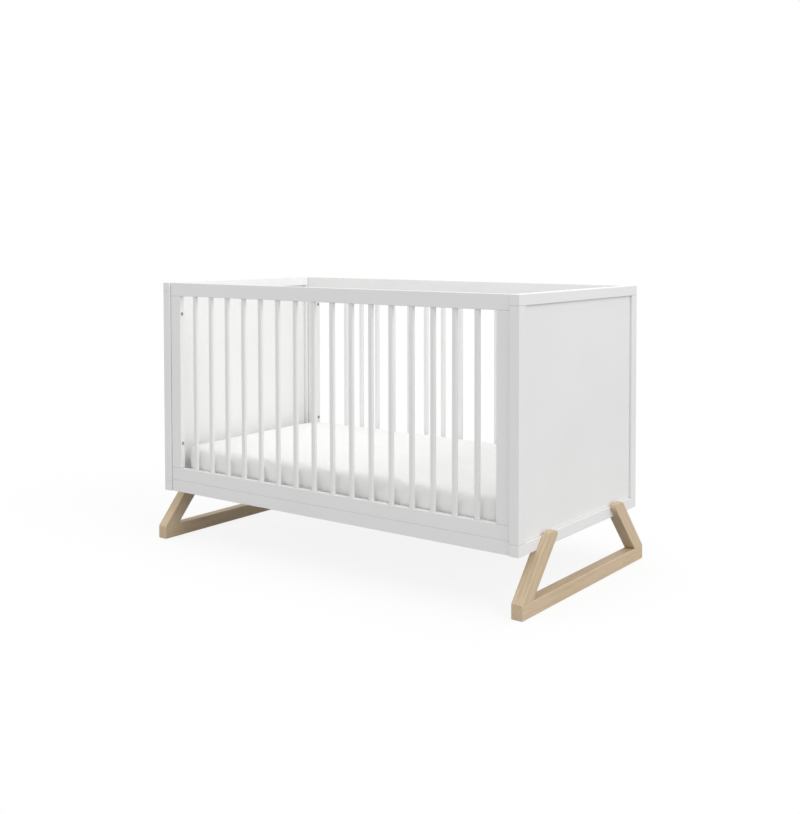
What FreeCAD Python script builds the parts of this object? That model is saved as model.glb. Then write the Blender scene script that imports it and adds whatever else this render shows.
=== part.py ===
import FreeCAD, Part
import os
import Sketcher
from FreeCAD import Placement, Rotation, Vector

# Baby crib: two panelled end frames, a slatted gate and an apron on each long side, a pair of
# sled legs, and a mattress on a steel support frame that hooks on at three heights.
# X is the length, Y the depth with the front at -Y, Z is up. The origin is on the floor under
# the middle of the crib. Everything is in millimetres.

DIMENSIONS = {
    # overall
    "overall_length": 1477.0,       # over the outer faces of the sled legs
    "overall_depth": 750.0,         # length of a sled bar
    "overall_height": 889.5,
    "box_length": 1437.0,           # over the end frames
    "box_depth": 726.0,             # over the posts
    "underside_height": 170.0,      # floor to the bottom of the box
    "edge_radius": 1.2,             # softened edge of painted wood
    # end frames
    "post_width": 31.0,             # along X
    "post_depth": 34.0,             # along Y
    "end_top_height": 31.0,
    "end_bottom_height": 34.0,
    "panel_thickness": 12.0,
    "panel_recess": 7.0,
    "groove_depth": 8.0,
    "post_tenon_width": 12.0,
    "post_tenon_depth": 14.0,
    "post_tenon_length": 12.0,
    # gates and aprons
    "gate_recess": 6.0,             # back from the face of the posts
    "gate_thickness": 18.0,
    "gate_top_height": 45.0,
    "gate_bottom_height": 43.0,
    "stile_width": 46.0,
    "stile_tenon_width": 26.0,
    "stile_tenon_thickness": 8.0,
    "stile_tenon_length": 18.0,
    "apron_height": 39.5,
    "slat_count": 16,
    "slat_width": 17.0,
    "slat_thickness": 12.0,
    "slat_corner_radius": 4.5,
    "slat_tenon_width": 11.0,
    "slat_tenon_thickness": 7.0,
    "slat_tenon_length": 12.0,
    # sled legs
    "sled_thickness": 37.0,
    "sled_bar_height": 44.0,
    "lap_thickness": 20.0,          # outer half of an upright, lapped over the end frame
    "lap_top_height": 214.0,
    "foot_width": 57.0,             # width of an upright where it stands on the bar
    "shoulder_outer": 268.0,        # Y of an upright's edges at the underside of the box
    "shoulder_inner": 208.0,
    "lap_corner_radius": 11.0,
    "sled_edge_radius": 2.5,
    "glide_diameter": 20.0,
    "glide_thickness": 4.0,
    "glide_reveal": 1.5,            # how far a glide stands out below its bar
    "glide_position": 345.0,
    # mattress and its support
    "mattress_length": 1311.0,
    "mattress_width": 668.0,
    "mattress_thickness": 130.0,
    "mattress_corner_radius": 45.0,
    "mattress_edge_radius": 15.0,
    "support_top": 200.0,           # top of the support frame at its lowest level
    "support_length": 1300.0,
    "support_width": 660.0,
    "angle_leg": 22.0,
    "steel_thickness": 3.0,
    "long_strip_count": 7,
    "long_strip_width": 20.0,
    "long_strip_pitch": 77.0,
    "cross_strip_count": 5,
    "cross_strip_width": 25.0,
    "cross_strip_pitch": 260.0,
    # hangers that hook the support frame over shoulder bolts
    "level_height": 226.0,          # axis of the lowest shoulder bolts
    "level_spacing": 100.0,
    "level_count": 3,
    "level_position": 664.0,        # X of the shoulder bolts
    "hanger_clearance": 0.5,
    "hanger_inner": 626.0,
    "hanger_outer": 678.0,
    "hanger_top": 242.0,
    "strap_width": 30.0,
    "flange_width": 24.0,
    "hook_bottom": 216.0,
    "slot_width": 8.6,
    # fasteners
    "bolt_diameter": 6.0,
    "bolt_clearance": 6.5,
    "head_diameter": 11.0,
    "head_height": 4.0,
    "counterbore_diameter": 12.0,
    "counterbore_depth": 5.0,
    "insert_diameter": 9.0,
    "insert_length": 13.0,
    "gate_bolt_low": 337.0,
    "gate_bolt_high": 783.0,
    "leg_bolt_offset": 14.0,
    "leg_bolt_height": 187.0,
    "leg_bolt_centre": 223.0,
    "shoulder_bolt_diameter": 8.0,
    "shoulder_bolt_head": 13.0,
    "shoulder_head_height": 3.5,
    "dowel_diameter": 8.0,
    "dowel_length": 30.0,
    "top_dowel_drop": 11.5,
    "bottom_dowel_rise": 14.0,
    "apron_dowel_rise": 16.0,
    "leg_dowel_diameter": 10.0,
    "leg_dowel_length": 36.0,
    "leg_dowel_outer": 350.0,
    "leg_dowel_inner": 329.0,
}

doc = FreeCAD.newDocument("BabyCrib")
sheet = doc.addObject("Spreadsheet::Sheet", "dims")
for row, (alias, number) in enumerate(DIMENSIONS.items(), start=1):
    sheet.set(f"A{row}", alias)
    sheet.set(f"B{row}", str(number))
    sheet.setAlias(f"B{row}", alias)
doc.recompute()

# Places that several parts share, as expressions on the sheet. The parts are drawn at the
# right-hand end and the front (+X, -Y); the other end and the rear are the same parts
# turned half round about Z.
BOX_END = "dims.box_length / 2"
POST_INNER = "(dims.box_length / 2 - dims.post_width)"
POST_FACE = "dims.box_depth / 2"
POST_BACK = "(dims.box_depth / 2 - dims.post_depth)"
POST_BOTTOM = "(dims.underside_height + dims.end_bottom_height)"
POST_TOP = "(dims.overall_height - dims.end_top_height)"
PANEL_OUT = "(dims.box_length / 2 - dims.panel_recess)"
PANEL_IN = "(dims.box_length / 2 - dims.panel_recess - dims.panel_thickness)"
GATE_FACE = "(dims.box_depth / 2 - dims.gate_recess)"
GATE_BACK = "(dims.box_depth / 2 - dims.gate_recess - dims.gate_thickness)"
GATE_MIDDLE = "(dims.box_depth / 2 - dims.gate_recess - dims.gate_thickness / 2)"
GATE_BOTTOM = "(dims.underside_height + dims.apron_height)"
STILE_INNER = "(dims.box_length / 2 - dims.post_width - dims.stile_width)"
STILE_BOTTOM = "(dims.underside_height + dims.apron_height + dims.gate_bottom_height)"
STILE_TOP = "(dims.overall_height - dims.gate_top_height)"
SLAT_PITCH = f"((2 * {STILE_INNER} + dims.slat_width) / (dims.slat_count + 1))"
SLED_OUT = "dims.overall_length / 2"
SLED_IN = "(dims.overall_length / 2 - dims.sled_thickness)"
FRAME_SIDE = "dims.support_width / 2"
FRAME_END = "dims.support_length / 2"
STEEL_UNDER = "(dims.support_top - dims.steel_thickness)"
FRAME_BOTTOM = "(dims.support_top - dims.angle_leg)"
RAIL_DOWEL_Z = {
    "top": "(dims.overall_height - dims.top_dowel_drop)",
    "bottom": f"({GATE_BOTTOM} + dims.bottom_dowel_rise)",
    "apron": "(dims.underside_height + dims.apron_dowel_rise)",
}

TURNED = {"right": 0, "left": 180, "front": 0, "rear": 180}
AXIS_PLANE = {"X": "YZ_Plane", "Y": "XZ_Plane", "Z": "XY_Plane"}
parts = []


def size(alias):
    return float(sheet.get(alias))


def value(expression):
    return float(sheet.evalExpression(expression))


def new_body(label, turn=0):
    body = doc.addObject("PartDesign::Body", label)
    body.Label = label
    body.Placement = Placement(Vector(0, 0, 0), Rotation(Vector(0, 0, 1), turn))
    parts.append(body)
    return body


def new_sketch(body, axis, offset):
    """A sketch square to an axis; offset is its place along the plane's own normal."""
    sketch = body.newObject("Sketcher::SketchObject", "Sketch")
    planes = {feature.Role: feature for feature in body.Origin.OriginFeatures}
    sketch.AttachmentSupport = (planes[AXIS_PLANE[axis]], [""])
    sketch.MapMode = "FlatFace"
    sketch.setExpression("AttachmentOffset.Base.z", offset)
    return sketch


def pin(sketch, geometry, vertex, place):
    """Hold one point of the sketch at a pair of expressions."""
    for kind, expression in zip(("DistanceX", "DistanceY"), place):
        row = sketch.addConstraint(Sketcher.Constraint(kind, -1, 1, geometry, vertex, 1.0))
        sketch.setExpression(f"Constraints[{row}]", expression)


def polygon(sketch, corners):
    points = [Vector(value(across), value(up), 0) for across, up in corners]
    first = sketch.GeometryCount
    count = len(points)
    for index in range(count):
        sketch.addGeometry(Part.LineSegment(points[index], points[(index + 1) % count]), False)
    for index in range(count):
        following = first + (index + 1) % count
        sketch.addConstraint(Sketcher.Constraint("Coincident", first + index, 2, following, 1))
    for index, corner in enumerate(corners):
        pin(sketch, first + index, 1, corner)


def rectangle(sketch, across, up):
    polygon(sketch, [(across[0], up[0]), (across[1], up[0]), (across[1], up[1]), (across[0], up[1])])


def circle(sketch, centre, diameter):
    middle = Vector(value(centre[0]), value(centre[1]), 0)
    index = sketch.addGeometry(Part.Circle(middle, Vector(0, 0, 1), value(diameter) / 2), False)
    pin(sketch, index, 3, centre)
    row = sketch.addConstraint(Sketcher.Constraint("Diameter", index, value(diameter)))
    sketch.setExpression(f"Constraints[{row}]", diameter)


def block(body, x_range, y_range, z_range):
    """Pad a box between the given expressions."""
    sketch = new_sketch(body, "Z", z_range[0])
    rectangle(sketch, x_range, y_range)
    pad = body.newObject("PartDesign::Pad", "Block")
    pad.Profile = sketch
    pad.setExpression("Length", f"{z_range[1]} - {z_range[0]}")
    doc.recompute()
    return pad


def cut(body, sketch, depth):
    """Pocket the sketch and make sure that it took wood away."""
    before = body.Shape.Volume
    pocket = body.newObject("PartDesign::Pocket", "Pocket")
    pocket.Profile = sketch
    pocket.setExpression("Length", depth)
    doc.recompute()
    if body.Shape.Volume >= before:
        raise RuntimeError(f"{body.Label}: a pocket cuts nothing")
    return pocket


def mortise(body, x_range, y_range, z_range):
    """Cut a box between the given expressions."""
    sketch = new_sketch(body, "Z", z_range[1])
    rectangle(sketch, x_range, y_range)
    return cut(body, sketch, f"{z_range[1]} - {z_range[0]}")


def bore(body, axis, start, centres, diameter, depth):
    """Drill round holes from start: X towards -X, Y towards +Y, Z towards -Z."""
    offset = f"-({start})" if axis == "Y" else start
    sketch = new_sketch(body, axis, offset)
    for centre in centres:
        circle(sketch, centre, diameter)
    return cut(body, sketch, depth)


def soften(body, radius="dims.edge_radius", chosen=None):
    """Fillet every edge of the body so far, or only those that chosen picks."""
    base = body.Tip
    fillet = body.newObject("PartDesign::Fillet", "Softened")
    edges = [""]
    if chosen:
        edges = [f"Edge{i}" for i, edge in enumerate(base.Shape.Edges, start=1) if chosen(edge)]
    fillet.Base = (base, edges)
    fillet.UseAllEdges = chosen is None
    fillet.setExpression("Radius", radius)
    doc.recompute()
    return fillet


def row_along_x(body, originals, sketch, count, pitch):
    pattern = body.newObject("PartDesign::LinearPattern", "Row")
    pattern.Originals = originals
    pattern.Direction = (sketch, ["H_Axis"])
    pattern.Mode = "Spacing"
    pattern.setExpression("Offset", pitch)
    pattern.setExpression("Occurrences", count)
    body.Tip = pattern
    doc.recompute()
    return pattern


def is_upright(edge):
    """True for a straight edge that runs along Z."""
    box = edge.BoundBox
    return box.ZLength > 1.0 and box.XLength < 1e-6 and box.YLength < 1e-6


def about(middle, width):
    """The range of a width centred on an expression."""
    return (f"({middle} - {width} / 2)", f"({middle} + {width} / 2)")


# ---- end frames -------------------------------------------------------------------------

POST_MIDDLE_X = "(dims.box_length / 2 - dims.post_width / 2)"
POST_MIDDLE_Y = "(dims.box_depth / 2 - dims.post_depth / 2)"
TENON_X = about(POST_MIDDLE_X, "dims.post_tenon_width")
LEG_BOLTS_Y = [
    "(dims.leg_bolt_centre - dims.leg_bolt_offset)",
    "(dims.leg_bolt_centre + dims.leg_bolt_offset)",
]


def end_rail(label, turn, z_range, joint, inward):
    """A rail across the end; joint is its face to the posts, inward the way into its wood."""
    body = new_body(label, turn)
    block(body, (POST_INNER, BOX_END), (f"-{POST_FACE}", POST_FACE), z_range)
    soften(body)
    for side in ("-", ""):
        tenon_y = about(f"{side}{POST_MIDDLE_Y}", "dims.post_tenon_depth")
        mortise(body, TENON_X, tenon_y, into(joint, inward, "dims.post_tenon_length"))
    panel_y = f"({POST_BACK} + dims.groove_depth)"
    groove_z = into(joint, inward, "dims.groove_depth")
    mortise(body, (PANEL_IN, PANEL_OUT), (f"-{panel_y}", panel_y), groove_z)
    return body


def into(face, inward, depth):
    """The Z range that reaches from a face by a depth, up (+) or down (-)."""
    if inward == "+":
        return (face, f"({face} + {depth})")
    return (f"({face} - {depth})", face)


def post(label, turn, side):
    """A corner post with a tenon at each end and a groove for the panel."""
    body = new_body(label, turn)
    sign = "-" if side == "front" else ""
    y_range = about(f"{sign}{POST_MIDDLE_Y}", "dims.post_depth")
    block(body, (POST_INNER, BOX_END), y_range, (POST_BOTTOM, POST_TOP))
    soften(body)
    tenon_y = about(f"{sign}{POST_MIDDLE_Y}", "dims.post_tenon_depth")
    block(body, TENON_X, tenon_y, (POST_TOP, f"({POST_TOP} + dims.post_tenon_length)"))
    block(body, TENON_X, tenon_y, (f"({POST_BOTTOM} - dims.post_tenon_length)", POST_BOTTOM))
    groove_middle = f"({sign}({POST_BACK} + dims.groove_depth / 2))"
    groove_y = about(groove_middle, "dims.groove_depth")
    mortise(body, (PANEL_IN, PANEL_OUT), groove_y, (POST_BOTTOM, POST_TOP))
    # Threaded inserts for the gate bolts, and a dowel at the gate's bottom rail.
    gate_y = f"{sign}{GATE_MIDDLE}"
    insert_start = f"({POST_INNER} + dims.insert_length)"
    bolts = [(gate_y, "dims.gate_bolt_low"), (gate_y, "dims.gate_bolt_high")]
    bore(body, "X", insert_start, bolts, "dims.insert_diameter", "dims.insert_length")
    dowel_start = f"({POST_INNER} + dims.dowel_length / 2)"
    dowel = [(gate_y, RAIL_DOWEL_Z["bottom"])]
    bore(body, "X", dowel_start, dowel, "dims.dowel_diameter", "dims.dowel_length / 2")
    return body


def end_frame(end):
    turn = TURNED[end]
    top_z = (POST_TOP, "dims.overall_height")
    top = end_rail(f"{end}_end_top_rail", turn, top_z, POST_TOP, "+")
    bottom_z = ("dims.underside_height", POST_BOTTOM)
    bottom = end_rail(f"{end}_end_bottom_rail", turn, bottom_z, POST_BOTTOM, "-")
    dowel_start = f"({POST_INNER} + dims.dowel_length / 2)"
    dowel_depth = "dims.dowel_length / 2"
    for rail, place in ((top, "top"), (bottom, "apron")):
        middles = [(f"-{GATE_MIDDLE}", RAIL_DOWEL_Z[place]), (GATE_MIDDLE, RAIL_DOWEL_Z[place])]
        bore(rail, "X", dowel_start, middles, "dims.dowel_diameter", dowel_depth)
    bolts = [(f"{side}{y}", "dims.leg_bolt_height") for side in ("-", "") for y in LEG_BOLTS_Y]
    bore(bottom, "X", BOX_END, bolts, "dims.bolt_clearance", "dims.post_width")
    sunk = f"({POST_INNER} + dims.counterbore_depth)"
    bore(bottom, "X", sunk, bolts, "dims.counterbore_diameter", "dims.counterbore_depth")

    near, far = ("front", "rear") if turn == 0 else ("rear", "front")
    post(f"{end}_{near}_post", turn, "front")
    post(f"{end}_{far}_post", turn, "rear")

    panel = new_body(f"{end}_end_panel", turn)
    panel_y = f"({POST_BACK} + dims.groove_depth)"
    panel_z = (f"({POST_BOTTOM} - dims.groove_depth)", f"({POST_TOP} + dims.groove_depth)")
    block(panel, (PANEL_IN, PANEL_OUT), (f"-{panel_y}", panel_y), panel_z)


# ---- gates and aprons -------------------------------------------------------------------

GATE_Y = (f"-{GATE_FACE}", f"-{GATE_BACK}")
FIRST_SLAT = f"(-{STILE_INNER} + {SLAT_PITCH} - dims.slat_width / 2)"
STILE_MIDDLE = f"({STILE_INNER} + dims.stile_width / 2)"
SLAT_TENON_Y = about(f"-{GATE_MIDDLE}", "dims.slat_tenon_thickness")
STILE_TENON_Y = about(f"-{GATE_MIDDLE}", "dims.stile_tenon_thickness")


def gate_rail(label, turn, z_range, joint, inward, dowel_z):
    """A rail over the full gate, mortised for the slats and for the two stiles."""
    body = new_body(label, turn)
    block(body, (f"-{POST_INNER}", POST_INNER), GATE_Y, z_range)
    soften(body)
    for side in ("-", ""):
        stile_x = about(f"{side}{STILE_MIDDLE}", "dims.stile_tenon_width")
        mortise(body, stile_x, STILE_TENON_Y, into(joint, inward, "dims.stile_tenon_length"))
    bore_rail_ends(body, dowel_z)
    slat_x = about(FIRST_SLAT, "dims.slat_tenon_width")
    first = mortise(body, slat_x, SLAT_TENON_Y, into(joint, inward, "dims.slat_tenon_length"))
    row_along_x(body, [first], first.Profile[0], "dims.slat_count", SLAT_PITCH)
    return body


def bore_rail_ends(body, dowel_z):
    """A dowel hole in each end of a rail that lies along X."""
    centre = [(f"-{GATE_MIDDLE}", dowel_z)]
    depth = "dims.dowel_length / 2"
    bore(body, "X", POST_INNER, centre, "dims.dowel_diameter", depth)
    bore(body, "X", f"(-{POST_INNER} + {depth})", centre, "dims.dowel_diameter", depth)


def stile(label, turn, side):
    body = new_body(label, turn)
    sign = "-" if side == "left" else ""
    middle = f"{sign}{STILE_MIDDLE}"
    block(body, about(middle, "dims.stile_width"), GATE_Y, (STILE_BOTTOM, STILE_TOP))
    soften(body)
    tenon_x = about(middle, "dims.stile_tenon_width")
    for joint, inward in ((STILE_TOP, "+"), (STILE_BOTTOM, "-")):
        block(body, tenon_x, STILE_TENON_Y, into(joint, inward, "dims.stile_tenon_length"))
    # Gate bolts run along X, with their heads sunk in the edge beside the slats.
    centres = [(f"-{GATE_MIDDLE}", f"dims.gate_bolt_{level}") for level in ("low", "high")]
    through = f"({middle} + dims.stile_width / 2)"
    bore(body, "X", through, centres, "dims.bolt_clearance", "dims.stile_width")
    sunk = f"({middle} - dims.stile_width / 2 + dims.counterbore_depth)"
    if side == "left":
        sunk = through
    bore(body, "X", sunk, centres, "dims.counterbore_diameter", "dims.counterbore_depth")
    # Threaded inserts for the two upper mattress levels.
    level_x = f"{sign}dims.level_position"
    heights = [f"(dims.level_height + {n} * dims.level_spacing)" for n in (1, 2)]
    start = f"(-{GATE_BACK} - dims.insert_length)"
    levels = [(level_x, height) for height in heights]
    bore(body, "Y", start, levels, "dims.insert_diameter", "dims.insert_length")
    return body


def slat_solid(body):
    """One slat with rounded corners and a tenon at each end."""
    slat_x = about(FIRST_SLAT, "dims.slat_width")
    slat_y = about(f"-{GATE_MIDDLE}", "dims.slat_thickness")
    blank = block(body, slat_x, slat_y, (STILE_BOTTOM, STILE_TOP))
    rounded = soften(body, "dims.slat_corner_radius", is_upright)
    tenon_x = about(FIRST_SLAT, "dims.slat_tenon_width")
    upper_z = into(STILE_TOP, "+", "dims.slat_tenon_length")
    upper = block(body, tenon_x, SLAT_TENON_Y, upper_z)
    lower_z = into(STILE_BOTTOM, "-", "dims.slat_tenon_length")
    lower = block(body, tenon_x, SLAT_TENON_Y, lower_z)
    return [blank, rounded, upper, lower]


def gate(side):
    turn = TURNED[side]
    top_z = (STILE_TOP, "dims.overall_height")
    gate_rail(f"{side}_gate_top_rail", turn, top_z, STILE_TOP, "+", RAIL_DOWEL_Z["top"])
    bottom_z = (GATE_BOTTOM, STILE_BOTTOM)
    bottom_dowel = RAIL_DOWEL_Z["bottom"]
    bottom = gate_rail(
        f"{side}_gate_bottom_rail", turn, bottom_z, STILE_BOTTOM, "-", bottom_dowel)
    # The lowest mattress level is screwed into the bottom rail.
    lowest = [("-dims.level_position", "dims.level_height"),
              ("dims.level_position", "dims.level_height")]
    start = f"(-{GATE_BACK} - dims.insert_length)"
    bore(bottom, "Y", start, lowest, "dims.insert_diameter", "dims.insert_length")

    near, far = ("right", "left") if turn == 0 else ("left", "right")
    stile(f"{side}_{near}_stile", turn, "right")
    stile(f"{side}_{far}_stile", turn, "left")

    apron = new_body(f"{side}_apron", turn)
    apron_z = ("dims.underside_height", GATE_BOTTOM)
    block(apron, (f"-{POST_INNER}", POST_INNER), GATE_Y, apron_z)
    soften(apron)
    bore_rail_ends(apron, RAIL_DOWEL_Z["apron"])


def front_slats():
    for index in range(int(size("slat_count"))):
        body = new_body(f"front_slat_{index + 1:02d}")
        slat_solid(body)
        body.setExpression("Placement.Base.x", f"{index} * {SLAT_PITCH}")


def rear_slats():
    body = new_body("rear_slats", TURNED["rear"])
    features = slat_solid(body)
    sketch = features[0].Profile[0]
    row_along_x(body, features, sketch, "dims.slat_count", SLAT_PITCH)


# ---- sled legs --------------------------------------------------------------------------

SLED_MIDDLE = "(dims.overall_length / 2 - dims.sled_thickness / 2)"
OUTER_LEAN = ("((dims.overall_depth / 2 - dims.shoulder_outer)"
              " / (dims.underside_height - dims.sled_bar_height))")
INNER_LEAN = ("((dims.overall_depth / 2 - dims.foot_width - dims.shoulder_inner)"
              " / (dims.underside_height - dims.sled_bar_height))")


def sled_bar(label, turn):
    body = new_body(label, turn)
    half = "dims.overall_depth / 2"
    block(body, (SLED_IN, SLED_OUT), (f"-{half}", half), ("dims.glide_reveal", "dims.sled_bar_height"))
    soften(body, "dims.sled_edge_radius")
    dowels = [(SLED_MIDDLE, f"{side}dims.leg_dowel_{place}")
              for side in ("-", "") for place in ("outer", "inner")]
    depth = "dims.leg_dowel_length / 2"
    bore(body, "Z", "dims.sled_bar_height", dowels, "dims.leg_dowel_diameter", depth)
    glides = [(SLED_MIDDLE, f"{side}dims.glide_position") for side in ("-", "")]
    recess = "dims.glide_thickness - dims.glide_reveal"
    bore(body, "Z", "dims.glide_thickness", glides, "dims.glide_diameter", recess)
    return body


def upright(label, turn, side):
    """A leaning upright: its outer half laps the end frame, its inner half stops under it."""
    body = new_body(label, turn)
    sign = "-" if side == "front" else ""

    def profile(top):
        rise = f"({top} - dims.sled_bar_height)"
        outer = "dims.overall_depth / 2"
        inner = "(dims.overall_depth / 2 - dims.foot_width)"
        return [
            (f"{sign}({outer})", "dims.sled_bar_height"),
            (f"{sign}({inner})", "dims.sled_bar_height"),
            (f"{sign}({inner} - {rise} * {INNER_LEAN})", top),
            (f"{sign}({outer} - {rise} * {OUTER_LEAN})", top),
        ]

    lap_inner = "(dims.overall_length / 2 - dims.lap_thickness)"
    lap = new_sketch(body, "X", lap_inner)
    polygon(lap, profile("dims.lap_top_height"))
    outer_half = body.newObject("PartDesign::Pad", "Lap")
    outer_half.Profile = lap
    outer_half.setExpression("Length", "dims.lap_thickness")
    shoulder = new_sketch(body, "X", SLED_IN)
    polygon(shoulder, profile("dims.underside_height"))
    inner_half = body.newObject("PartDesign::Pad", "Shoulder")
    inner_half.Profile = shoulder
    inner_half.setExpression("Length", "dims.sled_thickness - dims.lap_thickness")
    doc.recompute()

    lap_top = size("lap_top_height")
    shoulder_height = size("underside_height")

    def lap_corner(edge):
        box = edge.BoundBox
        return box.ZMin > lap_top - 1e-3 and box.YLength < 1e-3 and box.XLength > 1.0

    def long_edge(edge):
        box = edge.BoundBox
        if box.ZLength < 1.0 or box.XLength > 1e-3:
            return False
        on_lap_back = abs(box.XMin - value(lap_inner)) < 1e-3
        return not on_lap_back or box.ZMax > shoulder_height + 1.0

    soften(body, "dims.lap_corner_radius", lap_corner)
    soften(body, "dims.edge_radius", long_edge)
    dowels = [(SLED_MIDDLE, f"{sign}dims.leg_dowel_{place}") for place in ("outer", "inner")]
    depth = "dims.leg_dowel_length / 2"
    start = f"(dims.sled_bar_height + {depth})"
    bore(body, "Z", start, dowels, "dims.leg_dowel_diameter", depth)
    bolts = [(f"{sign}{y}", "dims.leg_bolt_height") for y in LEG_BOLTS_Y]
    start = f"({BOX_END} + dims.insert_length)"
    bore(body, "X", start, bolts, "dims.insert_diameter", "dims.insert_length")
    return body


def sled(end):
    turn = TURNED[end]
    near, far = ("front", "rear") if turn == 0 else ("rear", "front")
    sled_bar(f"{end}_sled_bar", turn)
    upright(f"{end}_{near}_upright", turn, "front")
    upright(f"{end}_{far}_upright", turn, "rear")


# ---- mattress and its support -----------------------------------------------------------

def mattress():
    body = new_body("mattress")
    half_x = "dims.mattress_length / 2"
    half_y = "dims.mattress_width / 2"
    top = "(dims.support_top + dims.mattress_thickness)"
    block(body, (f"-{half_x}", half_x), (f"-{half_y}", half_y), ("dims.support_top", top))
    soften(body, "dims.mattress_corner_radius", is_upright)

    def rim(edge):
        return edge.BoundBox.ZLength < 1e-3

    soften(body, "dims.mattress_edge_radius", rim)


def side_angle(label, turn):
    """Steel angle along the side: an upright leg outside, a flat leg under the mattress."""
    body = new_body(label, turn)
    leg_x = (f"-{FRAME_END}", FRAME_END)
    outer = f"-{FRAME_SIDE}"
    block(body, leg_x, (outer, f"({outer} + dims.steel_thickness)"), (FRAME_BOTTOM, "dims.support_top"))
    block(body, leg_x, (outer, f"({outer} + dims.angle_leg)"), (STEEL_UNDER, "dims.support_top"))


def end_angle(label, turn):
    """Steel angle across the end, its flat leg cut back to fit between the side angles."""
    body = new_body(label, turn)
    under_y = f"({FRAME_SIDE} - dims.steel_thickness)"
    flat_y = f"({FRAME_SIDE} - dims.angle_leg)"
    leg_x = (f"({FRAME_END} - dims.steel_thickness)", FRAME_END)
    block(body, leg_x, (f"-{under_y}", under_y), (FRAME_BOTTOM, STEEL_UNDER))
    flat_x = (f"({FRAME_END} - dims.angle_leg)", FRAME_END)
    block(body, flat_x, (f"-{flat_y}", flat_y), (STEEL_UNDER, "dims.support_top"))


def strips():
    """A welded grid: cross strips under the side angles, long strips on top of them."""
    body = new_body("support_grid")
    cross_y = f"({FRAME_SIDE} - dims.steel_thickness)"
    first_x = "(-(dims.cross_strip_count - 1) / 2 * dims.cross_strip_pitch)"
    cross_x = about(first_x, "dims.cross_strip_width")
    cross_z = (f"({STEEL_UNDER} - dims.steel_thickness)", STEEL_UNDER)
    first = block(body, cross_x, (f"-{cross_y}", cross_y), cross_z)
    pitch = "dims.cross_strip_pitch"
    row_along_x(body, [first], first.Profile[0], "dims.cross_strip_count", pitch)
    long_x = f"({FRAME_END} - dims.angle_leg)"
    for index in range(int(size("long_strip_count"))):
        middle = f"(({index} - (dims.long_strip_count - 1) / 2) * dims.long_strip_pitch)"
        strip_y = about(middle, "dims.long_strip_width")
        block(body, (f"-{long_x}", long_x), strip_y, (STEEL_UNDER, "dims.support_top"))


def hanger(label, turn, side):
    """Bent plate under a corner of the frame, with a slot that drops over a shoulder bolt."""
    body = new_body(label, turn)
    sign = "-" if side == "left" else ""
    strap_right = "(dims.hanger_inner + dims.strap_width)"
    face_y = f"(-{GATE_BACK} + dims.hanger_clearance)"
    plate_depth = "dims.steel_thickness"
    outline = [
        ("dims.hanger_inner", f"({FRAME_BOTTOM} - dims.steel_thickness)"),
        (strap_right, f"({FRAME_BOTTOM} - dims.steel_thickness)"),
        (strap_right, "dims.hook_bottom"),
        ("dims.hanger_outer", "dims.hook_bottom"),
        ("dims.hanger_outer", "dims.hanger_top"),
        ("dims.hanger_inner", "dims.hanger_top"),
    ]
    plate = new_sketch(body, "Y", f"-({face_y})")
    polygon(plate, [(f"{sign}{across}", up) for across, up in outline])
    pad = body.newObject("PartDesign::Pad", "Plate")
    pad.Profile = plate
    pad.Reversed = True
    pad.setExpression("Length", plate_depth)
    flange_x = about(f"{sign}(dims.hanger_inner + dims.flange_width / 2)", "dims.flange_width")
    flange_y = (face_y, f"(-{FRAME_SIDE} + dims.angle_leg)")
    block(body, flange_x, flange_y, (f"({FRAME_BOTTOM} - dims.steel_thickness)", FRAME_BOTTOM))
    slot_x = about(f"{sign}dims.level_position", "dims.slot_width")
    plate_y = (face_y, f"({face_y} + {plate_depth})")
    mortise(body, slot_x, plate_y, ("dims.hook_bottom", "dims.level_height"))
    centre = [(f"{sign}dims.level_position", "dims.level_height")]
    bore(body, "Y", face_y, centre, "dims.slot_width", plate_depth)
    return body


def support():
    side_angle("support_front_angle", TURNED["front"])
    side_angle("support_rear_angle", TURNED["rear"])
    end_angle("support_right_angle", TURNED["right"])
    end_angle("support_left_angle", TURNED["left"])
    strips()
    hanger("front_right_hanger", TURNED["front"], "right")
    hanger("front_left_hanger", TURNED["front"], "left")
    hanger("rear_left_hanger", TURNED["rear"], "right")
    hanger("rear_right_hanger", TURNED["rear"], "left")


# ---- fasteners, each node a group of identical loose pieces -------------------------------

def group(label, shapes):
    """One node of separate solids, placed in the frame of the crib."""
    node = doc.addObject("Part::Feature", label)
    node.Label = label
    node.Shape = Part.makeCompound(shapes)
    node.Placement = Placement()
    parts.append(node)


def rod(start, direction, diameter, length):
    return Part.makeCylinder(diameter / 2, length, start, direction)


def bolt(start, direction, length):
    """A bolt with a sunk hexagon socket; start is the top of its head."""
    head = rod(start, direction, size("head_diameter"), size("head_height"))
    under_head = start + direction * size("head_height")
    shank = rod(under_head, direction, size("bolt_diameter"), length)
    hexagon = Part.makePolygon([Vector(2.9, 0, 0)] + [
        Rotation(Vector(0, 0, 1), 60 * turn).multVec(Vector(2.9, 0, 0)) for turn in range(1, 7)])
    socket = Part.Face(hexagon).extrude(Vector(0, 0, 2.5))
    socket.Placement = Placement(start, Rotation(Vector(0, 0, 1), direction))
    return head.fuse(shank).cut(socket).removeSplitter()


def sleeve(start, direction, length):
    """A threaded insert, bored through for the bolt."""
    barrel = rod(start, direction, size("insert_diameter"), length)
    return barrel.cut(rod(start, direction, size("bolt_diameter"), length))


def corners():
    """The four corners as (x sign, y sign)."""
    return [(x_side, y_side) for x_side in (1, -1) for y_side in (-1, 1)]


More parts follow.
